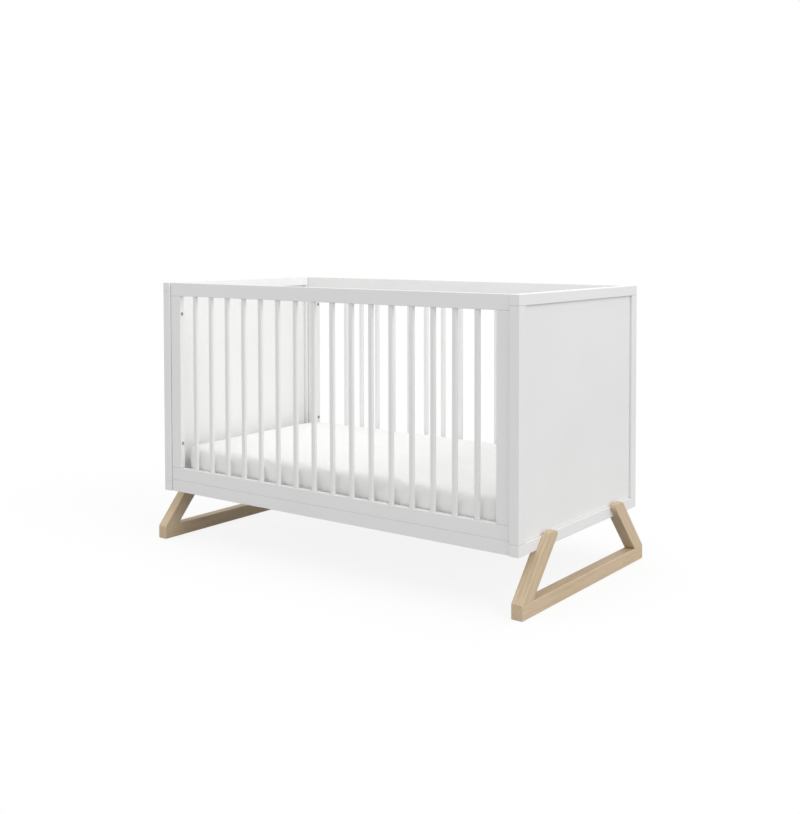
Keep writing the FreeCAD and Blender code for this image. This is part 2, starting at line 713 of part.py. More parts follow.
def frame_bolts():
    """Bolts that hold the gates to the posts, from the edges of the stiles."""
    edge_x = value(STILE_INNER) + size("counterbore_depth") - size("head_height")
    reach = value(POST_INNER) + size("insert_length") - 1.0 - edge_x - size("head_height")
    bolts = []
    for x_side, y_side in corners():
        for level in ("gate_bolt_low", "gate_bolt_high"):
            head_top = Vector(x_side * edge_x, y_side * value(GATE_MIDDLE), size(level))
            bolts.append(bolt(head_top, Vector(x_side, 0, 0), reach))
    group("gate_bolts", bolts)


def rail_dowels():
    dowels = []
    start_x = value(POST_INNER) - size("dowel_length") / 2
    for x_side, y_side in corners():
        for height in RAIL_DOWEL_Z.values():
            start = Vector(x_side * start_x, y_side * value(GATE_MIDDLE), value(height))
            outward = Vector(x_side, 0, 0)
            dowels.append(rod(start, outward, size("dowel_diameter"), size("dowel_length")))
    group("rail_dowels", dowels)


def leg_bolts():
    """Bolts from inside the box through the bottom rails into the uprights."""
    inner_x = value(POST_INNER) + size("counterbore_depth") - size("head_height")
    reach = value(BOX_END) + size("insert_length") - 1.0 - inner_x - size("head_height")
    bolts = []
    for x_side, y_side in corners():
        for place in LEG_BOLTS_Y:
            head_top = Vector(x_side * inner_x, y_side * value(place), size("leg_bolt_height"))
            bolts.append(bolt(head_top, Vector(x_side, 0, 0), reach))
    group("leg_bolts", bolts)


def leg_dowels():
    dowels = []
    foot = size("sled_bar_height") - size("leg_dowel_length") / 2
    for x_side, y_side in corners():
        for place in ("leg_dowel_outer", "leg_dowel_inner"):
            start = Vector(x_side * value(SLED_MIDDLE), y_side * size(place), foot)
            length = size("leg_dowel_length")
            dowels.append(rod(start, Vector(0, 0, 1), size("leg_dowel_diameter"), length))
    group("leg_dowels", dowels)


def floor_glides():
    glides = []
    for x_side, y_side in corners():
        foot = Vector(x_side * value(SLED_MIDDLE), y_side * size("glide_position"), 0)
        glides.append(rod(foot, Vector(0, 0, 1), size("glide_diameter"), size("glide_thickness")))
    group("floor_glides", glides)


def threaded_inserts():
    """The same insert takes the gate bolts, the leg bolts and the mattress levels."""
    length = size("insert_length")
    levels = [size("level_height") + n * size("level_spacing") for n in range(int(size("level_count")))]
    inserts = []
    for x_side, y_side in corners():
        outward = Vector(x_side, 0, 0)
        for level in ("gate_bolt_low", "gate_bolt_high"):
            mouth = Vector(x_side * value(POST_INNER), y_side * value(GATE_MIDDLE), size(level))
            inserts.append(sleeve(mouth, outward, length))
        for place in LEG_BOLTS_Y:
            across = y_side * value(place)
            mouth = Vector(x_side * value(BOX_END), across, size("leg_bolt_height"))
            inserts.append(sleeve(mouth, outward, length))
        for height in levels:
            mouth = Vector(x_side * size("level_position"), y_side * value(GATE_BACK), height)
            inserts.append(sleeve(mouth, Vector(0, y_side, 0), length))
    group("threaded_inserts", inserts)


def level_bolts():
    """A shoulder bolt at each corner, in the lowest of the mattress levels."""
    shoulder_bolts = []
    gap = size("hanger_clearance") + size("steel_thickness") + size("hanger_clearance")
    for x_side, y_side in corners():
        outward = Vector(0, y_side, 0)
        seat = Vector(x_side * size("level_position"), y_side * value(GATE_BACK), size("level_height"))
        shoulder = rod(seat, -outward, size("shoulder_bolt_diameter"), gap)
        head_size = (size("shoulder_bolt_head"), size("shoulder_head_height"))
        head = rod(seat - outward * gap, -outward, *head_size)
        thread = rod(seat, outward, size("bolt_diameter"), size("insert_length") - 1.0)
        shoulder_bolts.append(shoulder.fuse([head, thread]).removeSplitter())
    group("level_shoulder_bolts", shoulder_bolts)


end_frame("right")
end_frame("left")
gate("front")
gate("rear")
front_slats()
rear_slats()
sled("right")
sled("left")
mattress()
support()
frame_bolts()
rail_dowels()
leg_bolts()
leg_dowels()
floor_glides()
threaded_inserts()
level_bolts()
doc.recompute()

for item in doc.Objects:
    if "Invalid" in item.State or "Error" in item.State:
        raise RuntimeError(f"{item.Label}: {item.State}")
os.makedirs("parts", exist_ok=True)
for node in parts:
    if node.Shape.isNull() or not node.Shape.isValid():
        raise RuntimeError(f"{node.Label}: bad shape")
    node.Shape.exportStep(f"parts/{node.Label}.step")
print(len(parts), "nodes")
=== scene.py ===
import math

import bmesh
import bpy
import numpy as np
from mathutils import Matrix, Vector, noise
from mathutils.bvhtree import BVHTree


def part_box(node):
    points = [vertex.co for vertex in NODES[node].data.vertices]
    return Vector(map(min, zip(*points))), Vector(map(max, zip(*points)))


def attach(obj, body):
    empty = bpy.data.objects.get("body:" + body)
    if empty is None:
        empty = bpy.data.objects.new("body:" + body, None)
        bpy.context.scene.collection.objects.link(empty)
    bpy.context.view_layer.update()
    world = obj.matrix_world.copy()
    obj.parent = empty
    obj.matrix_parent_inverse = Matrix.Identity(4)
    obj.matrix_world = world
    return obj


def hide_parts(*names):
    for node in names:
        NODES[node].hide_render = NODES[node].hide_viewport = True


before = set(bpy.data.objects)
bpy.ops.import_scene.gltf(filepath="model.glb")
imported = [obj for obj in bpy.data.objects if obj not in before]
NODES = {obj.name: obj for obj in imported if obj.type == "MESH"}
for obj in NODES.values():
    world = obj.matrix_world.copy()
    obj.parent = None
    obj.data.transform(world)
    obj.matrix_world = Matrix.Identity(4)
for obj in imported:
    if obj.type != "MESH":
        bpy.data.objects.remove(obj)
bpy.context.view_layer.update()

# A white baby crib on natural wood sled legs, with a mattress under a fitted sheet.
# The CAD parts keep their shape and get finishes here. The mattress is modelled here as a
# padded core in ticking, under a cotton fitted sheet.

# ---------------------------------------------------------------- camera

CAMERA_PLACE = (2.290, -2.931, 1.039)
CAMERA_YAW = 35.55
CAMERA_DIP = 2.1
CAMERA_LENS = 49.24
CAMERA_SHIFT = (-0.049, -0.156)


def make_camera():
    data = bpy.data.cameras.new("camera")
    data.sensor_width = 36.0
    data.lens = CAMERA_LENS
    data.shift_x, data.shift_y = CAMERA_SHIFT
    data.clip_start, data.clip_end = 0.05, 200.0
    camera = bpy.data.objects.new("camera", data)
    bpy.context.scene.collection.objects.link(camera)
    camera.location = CAMERA_PLACE
    camera.rotation_euler = (math.radians(90 - CAMERA_DIP), 0, math.radians(CAMERA_YAW))
    bpy.context.scene.camera = camera


make_camera()

# ---------------------------------------------------------------- node helpers


def new_material(name):
    """A material with a Principled shader, and its node tree and shader."""
    material = bpy.data.materials.new(name)
    material.use_nodes = True
    tree = material.node_tree
    return material, tree, tree.nodes["Principled BSDF"]


def put(tree, kind, inputs=None, **settings):
    """A new node. An input is a value, or the socket that feeds it."""
    made = tree.nodes.new("ShaderNode" + kind)
    for key, value in settings.items():
        setattr(made, key, value)
    for key, value in (inputs or {}).items():
        wire(tree, value, made.inputs[key])
    return made


def wire(tree, value, socket):
    """Links a socket, or sets a constant."""
    if isinstance(value, bpy.types.NodeSocket):
        tree.links.new(value, socket)
    else:
        socket.default_value = value


def placed(tree, turn=(0, 0, 0), stretch=(1, 1, 1), shift=(0, 0, 0)):
    """Object coordinates in metres, turned by degrees, shifted, and then stretched by ratios."""
    coordinates = put(tree, "TexCoord").outputs["Object"]
    turned = put(tree, "Mapping", {
        "Vector": coordinates,
        "Location": shift,
        "Rotation": tuple(math.radians(a) for a in turn),
    })
    return put(tree, "Mapping", {"Vector": turned.outputs[0], "Scale": stretch}).outputs[0]


def speckle(tree, where, scale, detail=2.0, roughness=0.5, distortion=0.0):
    """Noise between 0 and 1."""
    made = put(tree, "TexNoise", {
        "Vector": where, "Scale": scale, "Detail": detail, "Roughness": roughness,
        "Distortion": distortion,
    })
    return made.outputs["Fac"]


def ramp(tree, factor, stops, interpolation="EASE"):
    """A colour ramp from [(position, colour), ...]. A single number is a grey."""
    made = put(tree, "ValToRGB", {"Fac": factor})
    bar = made.color_ramp
    bar.interpolation = interpolation
    while len(bar.elements) < len(stops):
        bar.elements.new(0.5)
    for element, (position, colour) in zip(bar.elements, stops):
        element.position = position
        if isinstance(colour, (int, float)):
            colour = (colour, colour, colour)
        element.color = (*colour, 1)
    return made.outputs["Color"]


def mixed(tree, factor, a, b, blend="MIX"):
    """Colours a and b mixed; each is a socket or three numbers."""
    made = tree.nodes.new("ShaderNodeMix")
    made.data_type = "RGBA"
    made.blend_type = blend
    for socket, value in ((made.inputs[0], factor), (made.inputs[6], a), (made.inputs[7], b)):
        wire(tree, (*value, 1) if isinstance(value, tuple) else value, socket)
    return made.outputs[2]


def reckon(tree, operation, a, b):
    """One step of arithmetic; a and b are sockets or numbers."""
    made = put(tree, "Math", operation=operation)
    for socket, value in zip(made.inputs, (a, b)):
        wire(tree, value, socket)
    return made.outputs[0]


def blended(tree, a, share, b):
    """The share of a that is asked for, and the rest of b."""
    return reckon(
        tree, "ADD", reckon(tree, "MULTIPLY", a, share), reckon(tree, "MULTIPLY", b, 1 - share))


def bump(tree, height, distance, strength, under=None):
    """A normal raised by height, over the normal under; distance is in metres."""
    inputs = {"Height": height, "Distance": distance, "Strength": strength}
    if under is not None:
        inputs["Normal"] = under
    return put(tree, "Bump", inputs).outputs["Normal"]


# ---------------------------------------------------------------- finishes

PAINT = (0.865, 0.865, 0.862)
PAINT_THIN = (0.845, 0.846, 0.842)       # where the fibre shows through a little
CREASE_SHADE_REACH = 0.0025                      # how far from a joint or crease the painted shade (ambient occlusion) reaches
# how dark the painted shade makes the paint, from the most occluded to open surface
CREASE_SHADE_RAMP = [(0.30, 0.24), (0.82, 1.0)]


def white_lacquer(name, turn, shift=(0, 0, 0)):
    """Satin white lacquer on solid wood. turn brings the grain to local X."""
    material, tree, shader = new_material(name)
    plain = placed(tree, shift=shift)
    grain = placed(tree, turn, (0.9, 16, 16), shift)
    broad = speckle(tree, plain, 3.2, 3.0)
    fibre = speckle(tree, grain, 22.0, 5.0, 0.62, 0.3)
    peel = speckle(tree, plain, 420.0, 2.0)
    dust = speckle(tree, plain, 900.0, 1.0)
    tone = blended(tree, broad, 0.6, fibre)
    paint = ramp(tree, tone, [(0.32, PAINT_THIN), (0.60, PAINT)])
    # Painted shade: ambient occlusion darkens the paint in joints, creases, contact edges and
    # around bolt recesses
    painted_crease_shade = put(tree, "AmbientOcclusion", {"Distance": CREASE_SHADE_REACH}, samples=8).outputs["AO"]
    paint = mixed(tree, 1.0, paint, ramp(tree, painted_crease_shade, CREASE_SHADE_RAMP), "MULTIPLY")
    tree.links.new(paint, shader.inputs["Base Color"])
    gloss = blended(tree, peel, 0.45, broad)
    tree.links.new(ramp(tree, gloss, [(0.3, 0.36), (0.7, 0.47)]), shader.inputs["Roughness"])
    shader.inputs["IOR"].default_value = 1.48
    shader.inputs["Coat Weight"].default_value = 0.12
    shader.inputs["Coat Roughness"].default_value = 0.28
    soft = bump(tree, fibre, 0.00005, 0.5)
    soft = bump(tree, peel, 0.00005, 0.55, soft)
    tree.links.new(bump(tree, dust, 0.00002, 0.35, soft), shader.inputs["Normal"])
    return material


WOOD_PALE = (0.725, 0.585, 0.405)
WOOD_MID = (0.635, 0.493, 0.322)
WOOD_DARK = (0.505, 0.370, 0.230)
WOOD_PINK = (0.690, 0.545, 0.395)
WOOD_PORE = (0.30, 0.21, 0.13)
WOOD_FLECK = (0.70, 0.58, 0.42)


def natural_wood(name, turn, shift):
    """Washed pale beech. turn brings the grain to local X, and the pith runs along it."""
    material, tree, shader = new_material(name)
    wander = placed(tree, turn, (1.1, 7, 7), shift)
    bend = put(tree, "TexNoise", {
        "Vector": wander, "Scale": 2.4, "Detail": 2.0, "Roughness": 0.45})
    lean = put(tree, "VectorMath", {
        0: bend.outputs["Color"], 1: (0.5, 0.5, 0.5)}, operation="SUBTRACT")
    lean = put(tree, "VectorMath", {0: lean.outputs[0], "Scale": 0.020}, operation="SCALE")
    straight = placed(tree, turn, (1, 1, 1), shift)
    grown = put(tree, "VectorMath", {0: straight, 1: lean.outputs[0]}, operation="ADD")
    rings = put(tree, "TexWave", {
        "Vector": grown.outputs[0], "Scale": 26.0, "Distortion": 1.6, "Detail": 2.0,
        "Detail Scale": 1.4, "Detail Roughness": 0.5,
    }, wave_type="RINGS", rings_direction="X", wave_profile="SAW").outputs["Fac"]
    streak = speckle(tree, placed(tree, turn, (0.55, 13, 13), shift), 24.0, 4.0, 0.6, 0.25)
    fibre = speckle(tree, placed(tree, turn, (1.4, 60, 60), shift), 26.0, 3.0, 0.6)
    pores = put(tree, "TexVoronoi", {
        "Vector": placed(tree, turn, (0.12, 1, 1), shift), "Scale": 900.0, "Randomness": 1.0,
    }, feature="F1").outputs["Distance"]
    flecks = speckle(tree, placed(tree, turn, (1.0, 5, 5), shift), 48.0, 2.0, 0.5)
    ring_tone = ramp(tree, rings, [
        (0.0, WOOD_PALE), (0.55, WOOD_MID), (0.97, WOOD_DARK), (1.0, WOOD_PALE)], "LINEAR")
    streak_tone = ramp(tree, streak, [(0.30, WOOD_DARK), (0.48, WOOD_MID), (0.68, WOOD_PALE)])
    tone = mixed(tree, 0.62, ring_tone, streak_tone)
    drift = speckle(tree, placed(tree, turn, (1.0, 3, 3), shift), 4.5, 1.0)
    tone = mixed(tree, ramp(tree, drift, [(0.35, 0.0), (0.70, 0.55)]), tone, WOOD_PINK)
    tone = mixed(tree, ramp(tree, fibre, [(0.30, 0.16), (0.62, 0.0)]), tone, WOOD_DARK)
    tone = mixed(tree, ramp(tree, pores, [(0.05, 0.30), (0.28, 0.0)]), tone, WOOD_PORE)
    tone = mixed(tree, ramp(tree, flecks, [(0.62, 0.0), (0.74, 0.22)]), tone, WOOD_FLECK)
    tree.links.new(tone, shader.inputs["Base Color"])
    tree.links.new(ramp(tree, streak, [(0.3, 0.60), (0.7, 0.48)]), shader.inputs["Roughness"])
    shader.inputs["IOR"].default_value = 1.45
    shader.inputs["Coat Weight"].default_value = 0.05
    shader.inputs["Coat Roughness"].default_value = 0.4
    soft = bump(tree, streak, 0.00022, 0.5)
    soft = bump(tree, fibre, 0.00010, 0.5, soft)
    pits = ramp(tree, pores, [(0.05, 0.0), (0.25, 1.0)])
    tree.links.new(bump(tree, pits, 0.00010, 0.5, soft), shader.inputs["Normal"])
    return material


def powder_coat(name):
    """Light grey powder coat, with its fine pebbled skin."""
    material, tree, shader = new_material(name)
    where = placed(tree)
    pebble = speckle(tree, where, 950.0, 2.0)
    broad = speckle(tree, where, 9.0, 3.0)
    tree.links.new(
        ramp(tree, broad, [(0.3, (0.69, 0.70, 0.71)), (0.7, (0.75, 0.76, 0.765))]),
        shader.inputs["Base Color"])
    tree.links.new(ramp(tree, pebble, [(0.3, 0.42), (0.7, 0.58)]), shader.inputs["Roughness"])
    tree.links.new(bump(tree, pebble, 0.00009, 0.6), shader.inputs["Normal"])
    return material


def zinc_plate(name, colour):
    """Zinc-plated steel with a fine brushed haze."""
    material, tree, shader = new_material(name)
    where = placed(tree)
    haze = speckle(tree, where, 260.0, 3.0)
    scratch = speckle(tree, placed(tree, (0, 0, 20), (1, 22, 22)), 160.0, 3.0, 0.6)
    dark = tuple(0.78 * c for c in colour)
    tree.links.new(ramp(tree, haze, [(0.3, dark), (0.65, colour)]), shader.inputs["Base Color"])
    tree.links.new(ramp(tree, scratch, [(0.3, 0.30), (0.7, 0.46)]), shader.inputs["Roughness"])
    shader.inputs["Metallic"].default_value = 1.0
    tree.links.new(bump(tree, scratch, 0.00003, 0.4), shader.inputs["Normal"])
    return material


def dowel_wood(name):
    """Unfinished turned beech."""
    material, tree, shader = new_material(name)
    fibre = speckle(tree, placed(tree, stretch=(8, 8, 8)), 60.0, 4.0, 0.6)
    tree.links.new(
        ramp(tree, fibre, [(0.3, (0.60, 0.46, 0.30)), (0.7, (0.74, 0.60, 0.42))]),
        shader.inputs["Base Color"])
    tree.links.new(ramp(tree, fibre, [(0.3, 0.70), (0.7, 0.58)]), shader.inputs["Roughness"])
    tree.links.new(bump(tree, fibre, 0.00008, 0.5), shader.inputs["Normal"])
    return material


def nylon(name):
    """Moulded nylon, off white."""
    material, tree, shader = new_material(name)
    grit = speckle(tree, placed(tree), 700.0, 2.0)
    tree.links.new(
        ramp(tree, grit, [(0.3, (0.70, 0.69, 0.65)), (0.7, (0.78, 0.77, 0.73))]),
        shader.inputs["Base Color"])
    tree.links.new(ramp(tree, grit, [(0.3, 0.40), (0.7, 0.52)]), shader.inputs["Roughness"])
    tree.links.new(bump(tree, grit, 0.00005, 0.5), shader.inputs["Normal"])
    return material


def woven(name, light, shade, thread, relief):
    """Plain-woven cotton. thread is the pitch of the weave in metres."""
    material, tree, shader = new_material(name)
    where = placed(tree)
    across = [
        put(tree, "TexWave", {
            "Vector": where, "Scale": math.pi / 10 / thread, "Distortion": 0.5, "Detail": 1.0,
        }, wave_type="BANDS", bands_direction=axis).outputs["Fac"]
        for axis in ("X", "Y", "Z")
    ]
    flat_weave = reckon(tree, "MULTIPLY", across[0], across[1])
    weave = reckon(tree, "ADD", flat_weave, reckon(tree, "MULTIPLY", across[2], 0.35))
    slub = speckle(tree, placed(tree, stretch=(3, 40, 40)), 18.0, 3.0, 0.55)
    slub_across = speckle(tree, placed(tree, stretch=(40, 3, 40)), 18.0, 3.0, 0.55)
    broad = speckle(tree, where, 5.0, 3.0)
    tone = blended(tree, blended(tree, slub, 0.5, slub_across), 0.6, broad)
    cloth = ramp(tree, tone, [(0.34, shade), (0.56, light)])
    cloth = mixed(tree, reckon(tree, "MULTIPLY", weave, 0.10), cloth, shade)
    tree.links.new(cloth, shader.inputs["Base Color"])
    tree.links.new(ramp(tree, weave, [(0.0, 0.92), (1.0, 0.80)]), shader.inputs["Roughness"])
    shader.inputs["Sheen Weight"].default_value = 0.12
    shader.inputs["Sheen Roughness"].default_value = 0.6
    shader.inputs["Specular IOR Level"].default_value = 0.25
    soft = bump(tree, weave, relief, 0.5)
    tree.links.new(bump(tree, tone, relief * 0.8, 0.4, soft), shader.inputs["Normal"])
    return material


# ---------------------------------------------------------------- who gets which finish

ALONG_X = (0, 0, 0)
ALONG_Y = (0, 0, -90)
ALONG_Z = (0, 90, 0)
LEAN = 49.4                 # slope of a sled upright, in degrees above the floor
ALONG_UPRIGHT = {"front": (-LEAN, 0, -90), "rear": (LEAN - 180, 0, -90)}


def dress(material, *names):
    """Gives the CAD nodes one material."""
    for name in names:
        data = NODES[name].data
        data.materials.clear()
        data.materials.append(material)


paint_x = white_lacquer("lacquer_along_length", ALONG_X)
paint_y = white_lacquer("lacquer_along_depth", ALONG_Y)
paint_z = white_lacquer("lacquer_upright", ALONG_Z)
steel = powder_coat("powder_coated_steel")
zinc = zinc_plate("zinc_plated_bolts", (0.56, 0.56, 0.57))
insert_zinc = zinc_plate("zinc_plated_inserts", (0.60, 0.58, 0.52))
beech_pin = dowel_wood("beech_dowels")
glide = nylon("nylon_glides")

for side in ("front", "rear"):
    dress(paint_x, f"{side}_apron", f"{side}_gate_bottom_rail", f"{side}_gate_top_rail")
    dress(paint_z, f"{side}_left_stile", f"{side}_right_stile")
for end in ("left", "right"):
    dress(paint_y, f"{end}_end_top_rail", f"{end}_end_bottom_rail")
    dress(paint_z, f"{end}_end_panel", f"{end}_front_post", f"{end}_rear_post")
dress(paint_z, "rear_slats", *[n for n in NODES if n.startswith("front_slat_")])
dress(steel, *[n for n in NODES if n.startswith("support_") or n.endswith("_hanger")])
dress(zinc, "gate_bolts", "leg_bolts", "level_shoulder_bolts")
dress(insert_zinc, "threaded_inserts")
dress(beech_pin, "leg_dowels", "rail_dowels")
dress(glide, "floor_glides")

for number, end in enumerate(("left", "right")):
    bar = f"{end}_sled_bar"
    dress(natural_wood(f"wood_{bar}", ALONG_Y, (0.31 * number, 0.62, -0.11)), bar)
    for side, turn in ALONG_UPRIGHT.items():
        upright = f"{end}_{side}_upright"
        dress(natural_wood(f"wood_{upright}", turn, (0.6, 0.2 + number, -0.1)), upright)

sheet_cotton = woven(
    "sheet_cotton", (0.925, 0.925, 0.905), (0.895, 0.895, 0.875), 0.0006, 0.00008)
ticking = woven("ticking", (0.90, 0.90, 0.885), (0.83, 0.83, 0.81), 0.0009, 0.00012)

# ---------------------------------------------------------------- mattress

BED_LOW, BED_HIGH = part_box("mattress")
SHEET_CELL = 0.007            # size of the sheet's mesh
SHEET_SLIM = 0.004            # how much the sheet starts inside the mattress solid
SHEET_GAP = 0.0025            # from the support up to the sheet's underside
SHEET_ROUNDS = 26             # passes that soften the edges
CORE_CELL = 0.012
CORE_SLIM = 0.013
CORE_GAP = 0.0045
CORE_ROUNDS = 6
SWELL = 0.008                 # the most that the cloth may move as it fills
RUMPLE = 0.0012               # the unevenness that the cloth starts from
SIM_FRAMES = 20
HEM_INSET = 0.075             # how far the sheet goes under the mattress
HEM_HALF = (BED_HIGH.x - HEM_INSET, BED_HIGH.y - HEM_INSET)
HEM_CORNER = 0.11
HEM_STEP = 0.003
HEM_ARC_STEPS = 60
SEAM_STEPS = 90
SEAM_TILT = 52                # a seam runs from this many degrees up to as many down
SEAM_PIVOT = 0.06             # from the mattress's corner in to where the seam is sighted from


def shell_of_mattress(cell, slim, lift, rounds):
    """The mattress solid as an even closed mesh with softened edges.

    It is slim metres smaller at the top and sides, and its underside is lift metres up."""
    shell = bpy.data.objects.new("shell", NODES["mattress"].data.copy())
    bpy.context.scene.collection.objects.link(shell)
    middle = (BED_LOW + BED_HIGH) / 2
    size = BED_HIGH - BED_LOW
    for vertex in shell.data.vertices:
        place = vertex.co - middle
        vertex.co.x = middle.x + place.x * (1 - 2 * slim / size.x)
        vertex.co.y = middle.y + place.y * (1 - 2 * slim / size.y)
        up = (vertex.co.z - BED_LOW.z) / size.z
        vertex.co.z = BED_LOW.z + lift + up * (size.z - lift - slim)
    even = shell.modifiers.new("even", "REMESH")
    even.mode = "VOXEL"
    even.voxel_size = cell
    round_off = shell.modifiers.new("round_off", "SMOOTH")
    round_off.factor = 0.5
    round_off.iterations = rounds
    mesh = bpy.data.meshes.new_from_object(
        shell.evaluated_get(bpy.context.evaluated_depsgraph_get()))
    bpy.data.objects.remove(shell)
    return mesh


def points_of(mesh):
    """The mesh's points, as rows of x, y and z."""
    flat = np.zeros(len(mesh.vertices) * 3)
    mesh.vertices.foreach_get("co", flat)
    return flat.reshape(-1, 3)


def fill_with_air(mesh):
    """Runs the cloth on the shell, and returns where its points end up."""
    scene = bpy.context.scene
    shell = bpy.data.objects.new("filling", mesh.copy())
    scene.collection.objects.link(shell)
    heights = points_of(mesh)[:, 2]
    held = shell.vertex_groups.new(name="held")
    underside = np.nonzero(heights < heights.min() + 0.004)[0]
    held.add([int(i) for i in underside], 1.0, "REPLACE")
    cloth = shell.modifiers.new("cloth", "CLOTH")
    cloth.settings.quality = 5
    cloth.settings.mass = 0.15
    cloth.settings.tension_stiffness = 80
    cloth.settings.compression_stiffness = 40
    cloth.settings.shear_stiffness = 30
    cloth.settings.bending_stiffness = 0.25
    cloth.settings.shrink_min = -0.004
    cloth.settings.use_pressure = True
    cloth.settings.uniform_pressure_force = 0.3
    cloth.settings.vertex_group_mass = "held"
    cloth.settings.effector_weights.gravity = 0
    cloth.collision_settings.use_collision = False
    cloth.point_cache.frame_start, cloth.point_cache.frame_end = 1, SIM_FRAMES
    for number in range(1, SIM_FRAMES + 1):
        scene.frame_set(number)
    filled = shell.evaluated_get(bpy.context.evaluated_depsgraph_get()).to_mesh()
    end = points_of(filled)
    scene.frame_set(1)
    bpy.data.objects.remove(shell)
    return end


def rumple(points):
    """The cloth's unevenness at each point, between about -1 and 1."""
    return np.array([
        noise.noise(Vector(p) * 9.0) + 0.5 * noise.noise(Vector(p) * 23.0) for p in points])


def filled_shell():
    """The closed shell of the sheet, filled by the cloth simulation."""
    mesh = shell_of_mattress(SHEET_CELL, SHEET_SLIM, SHEET_GAP, SHEET_ROUNDS)
    start = points_of(mesh)
    normals = np.zeros(len(start) * 3)
    mesh.vertices.foreach_get("normal", normals)
    low = start[:, 2].min()
    free = np.clip((start[:, 2] - low - 0.004) / 0.02, 0, 1)
    end = start + normals.reshape(-1, 3) * (RUMPLE * rumple(start) * free)[:, None]
    mesh.vertices.foreach_set("co", end.ravel())
    moved = fill_with_air(mesh) - start
    reach = np.linalg.norm(moved, axis=1)
    eased = SWELL * np.tanh(reach / SWELL) / np.maximum(reach, 1e-9)
    end = start + moved * eased[:, None]
    mesh.vertices.foreach_set("co", end.ravel())
    mesh.update()
    return mesh


def oval(place, half, corner):
    """How far a point in plan is outside a rounded rectangle, and the way out."""
    flat = np.array([abs(place[0]), abs(place[1])]) - (np.array(half) - corner)
    signs = np.array([math.copysign(1, place[0]), math.copysign(1, place[1])])
    if flat[0] > 0 and flat[1] > 0:
        length = float(np.linalg.norm(flat))
        return length - corner, flat / length * signs
    side = int(flat[1] > flat[0])
    way = np.zeros(2)
    way[side] = signs[side]
    return float(flat[side]) - corner, way


def open_underneath(mesh):
    """Takes out the middle of the underside, up to the hem's line, and returns its height."""
    form = bmesh.new()
    form.from_mesh(mesh)
    low = min(v.co.z for v in form.verts)
    inside = {}
    for vertex in form.verts:
        if vertex.co.z < low + 0.003:
            distance, way = oval(vertex.co, HEM_HALF, HEM_CORNER)
            if distance < 0:
                inside[vertex] = (distance, way)
    gone = [f for f in form.faces if all(v in inside for v in f.verts)]
    bmesh.ops.delete(form, geom=gone, context="FACES")
    for vertex in form.verts:
        if vertex in inside:
            distance, way = inside[vertex]
            vertex.co.x -= distance * way[0]
            vertex.co.y -= distance * way[1]
    for face in form.faces:
        face.smooth = True
    form.to_mesh(mesh)
    form.free()
    return low


def swept(name, centres, outward, up, width, depth, material):
    """A flat band with round edges along the centres, which may close on themselves.

    Each list has an entry for each centre: the ways out and up, and the band's width and depth."""
    form = bmesh.new()
    around = [(math.cos(a), math.sin(a)) for a in np.linspace(0, 2 * math.pi, 12, endpoint=False)]
    closed = (centres[0] - centres[-1]).length < 0.02
    rings = []
    for centre, side, rise, wide, deep in zip(centres, outward, up, width, depth):
        rings.append([
            form.verts.new(centre + side * (math.copysign(abs(c) ** 0.6, c) * wide / 2)
                           + rise * (math.copysign(abs(s) ** 0.8, s) * deep / 2))
            for c, s in around
        ])
    following = rings[1:] + (rings[:1] if closed else [])
    for here, there in zip(rings, following):
        for k in range(len(around)):
            n = (k + 1) % len(around)
            form.faces.new((here[k], here[n], there[n], there[k]))
    if not closed:
        form.faces.new(rings[0])
        form.faces.new(list(reversed(rings[-1])))
    bmesh.ops.recalc_face_normals(form, faces=form.faces)
    for face in form.faces:
        face.smooth = True
    mesh = bpy.data.meshes.new(name)
    form.to_mesh(mesh)
    form.free()
    mesh.materials.append(material)
    made = bpy.data.objects.new(name, mesh)
    bpy.context.scene.collection.objects.link(made)
    return made


CORNERS = ((1, 1), (-1, 1), (-1, -1), (1, -1))      # signs of x and y, in turning order


def make_hem(low):
    """The elastic casing at the sheet's edge, gathered along its length."""
    middle = (BED_LOW + BED_HIGH) / 2
    straight = [half - HEM_CORNER for half in HEM_HALF]
    line = []
    for quarter, (sx, sy) in enumerate(CORNERS):
        corner_x, corner_y = sx * straight[0], sy * straight[1]
        for step in np.linspace(0, math.pi / 2, HEM_ARC_STEPS, endpoint=False):
            turn = quarter * math.pi / 2 + step
            out_x, out_y = math.cos(turn), math.sin(turn)
            line.append((
                corner_x + HEM_CORNER * out_x, corner_y + HEM_CORNER * out_y, out_x, out_y))
        length = 2 * straight[quarter % 2]
        count = int(length / HEM_STEP)
        turn = (quarter + 1) * math.pi / 2
        out_x, out_y = math.cos(turn), math.sin(turn)
        for step in range(count):
            walked = step / count * length
            line.append((
                corner_x + HEM_CORNER * out_x - out_y * walked,
                corner_y + HEM_CORNER * out_y + out_x * walked, out_x, out_y))
    centres, outward, up, width, depth = [], [], [], [], []
    for x, y, out_x, out_y in line:
        gather = noise.noise(Vector((x * 110, y * 110, 0.3)))
        crimp = noise.noise(Vector((x * 160, y * 160, 5.1)))
        side = Vector((out_x, out_y, 0))
        centre = Vector((middle.x + x, middle.y + y, low + 0.0004 + 0.0003 * crimp))
        centres.append(centre + side * 0.0012 * gather)
        outward.append(side)
        up.append(Vector((0, 0, 1)))
        width.append(0.011 + 0.0028 * crimp)
        depth.append(0.0022 + 0.0007 * gather)
    return swept("sheet_hem", centres, outward, up, width, depth, sheet_cotton)


